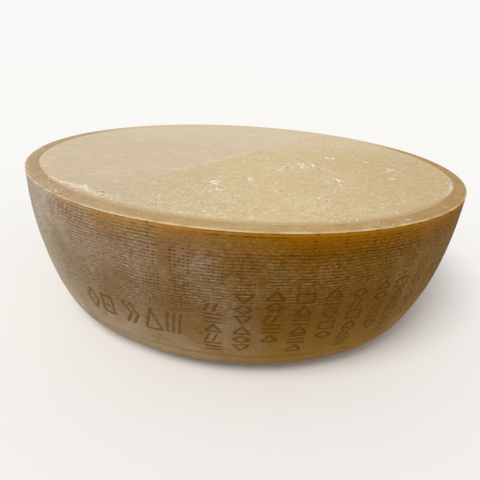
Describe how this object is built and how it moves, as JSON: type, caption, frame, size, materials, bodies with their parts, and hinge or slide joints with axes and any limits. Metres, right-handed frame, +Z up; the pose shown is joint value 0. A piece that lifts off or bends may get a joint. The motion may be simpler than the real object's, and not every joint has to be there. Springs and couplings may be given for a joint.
{
  "type": "parmesan half wheel",
  "caption": "Large half wheel of aged hard cheese, cut across at mid height, with a marked brown rind and a rough pale cut face on top.",
  "frame": {"origin": "centre of the flat rind face that the cheese rests on", "axes": "+Z up from the flat rind face to the cut face; -Y is the side seen from the front; +X is to the right seen from the front"},
  "size_m": [0.42, 0.42, 0.1297],
  "materials": {
    "rind": "dry waxy rind with fine ridges"
  },
  "bodies": {
    "root": {"half_wheel": "rind"}
  },
  "joints": []
}
